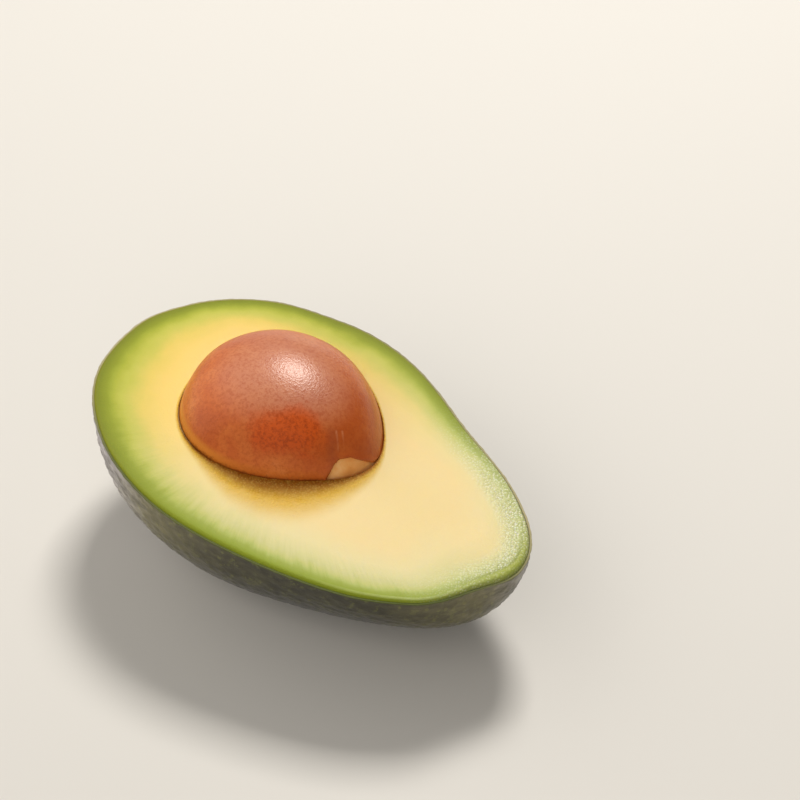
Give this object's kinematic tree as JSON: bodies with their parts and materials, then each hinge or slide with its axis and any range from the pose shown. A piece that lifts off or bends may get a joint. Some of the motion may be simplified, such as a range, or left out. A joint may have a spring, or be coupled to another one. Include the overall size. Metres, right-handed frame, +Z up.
{
  "type": "avocado half with its seed",
  "caption": "One half of an avocado cut lengthways, its seed still in the hollow, resting on its pebbled skin with the cut face up.",
  "frame": {"origin": "the middle of the small flat spot under the half", "axes": "+Z up; +X along the fruit towards its narrow end; +Y across it, towards the side that the seed sits nearer to"},
  "size_m": [0.0996, 0.0664, 0.0422],
  "materials": {
    "skin": "waxy, pebbled, dark olive green with yellow-green specks",
    "flesh": "moist, buttery, cream yellow turning green at the rim",
    "seed_coat": "thin papery coat, orange brown, satin",
    "seed": "pale, dense, matt"
  },
  "bodies": {
    "root": {"skin": "skin", "flesh": "flesh", "seed_coat": "seed_coat", "seed": "seed"}
  },
  "joints": []
}
